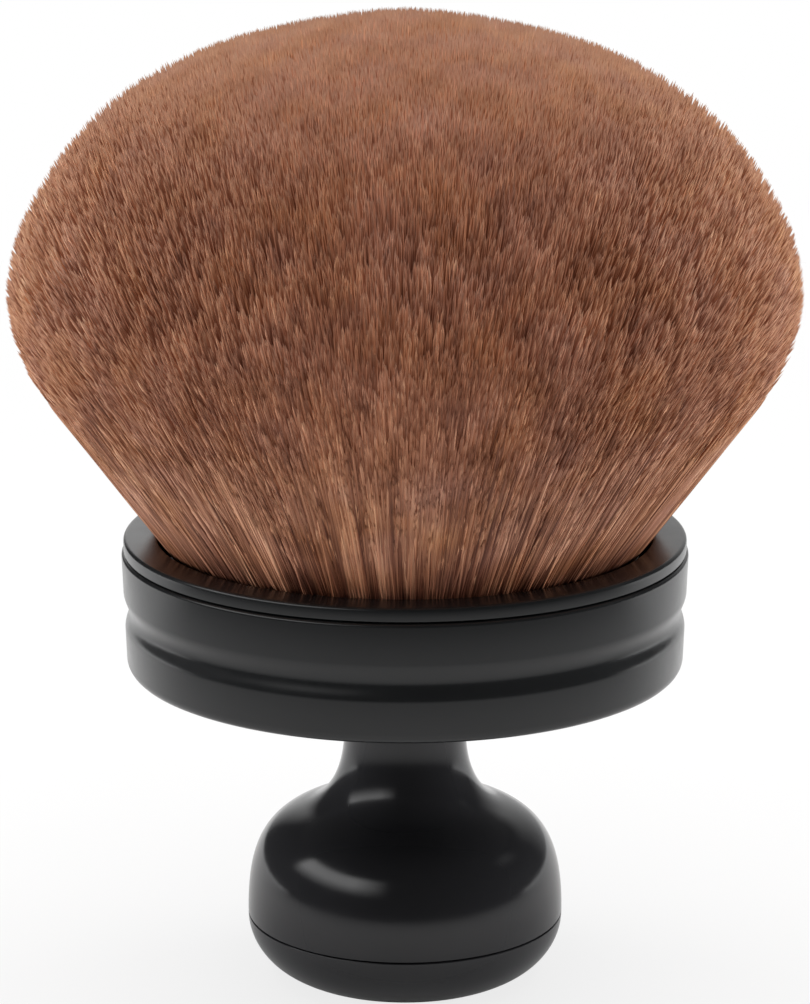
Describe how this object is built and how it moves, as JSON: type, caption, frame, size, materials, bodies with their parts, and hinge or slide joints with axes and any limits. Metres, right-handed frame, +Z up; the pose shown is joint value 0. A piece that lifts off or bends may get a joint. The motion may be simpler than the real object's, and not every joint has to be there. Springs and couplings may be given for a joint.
{
  "type": "powder brush",
  "caption": "Large domed powder brush with reddish brown fibres in a wide black ferrule, standing upright on a weighted black knob handle.",
  "frame": {"origin": "centre of the knob's flat base, on the surface that the brush stands on", "axes": "+Z up along the brush's axis, from the knob to the crown of the fibres; round about Z, so X and Y are free"},
  "size_m": [0.0696, 0.0696, 0.0874],
  "materials": {
    "fibre": "fine matt synthetic fibre, lighter at the tips",
    "thread": "wound nylon thread",
    "resin": "set resin",
    "cup_metal": "drawn, dull",
    "adhesive": "set adhesive bead",
    "satin_black": "moulded, satin",
    "nut_brass": "machined",
    "gloss_black": "moulded, polished",
    "steel": "zinc plated",
    "foam": "closed-cell foam"
  },
  "bodies": {
    "root": {"bristle_tuft": "fibre", "root_binding": "thread", "root_resin": "resin", "bristle_cup": "cup_metal", "cup_adhesive": "adhesive", "top_ring": "satin_black", "ferrule_shell": "satin_black", "captive_nut": "nut_brass", "knob_shell": "gloss_black", "screw_washer": "steel", "handle_screw": "steel", "ballast_pad": "foam", "knob_ballast": "steel", "knob_base_cap": "gloss_black"}
  },
  "joints": []
}
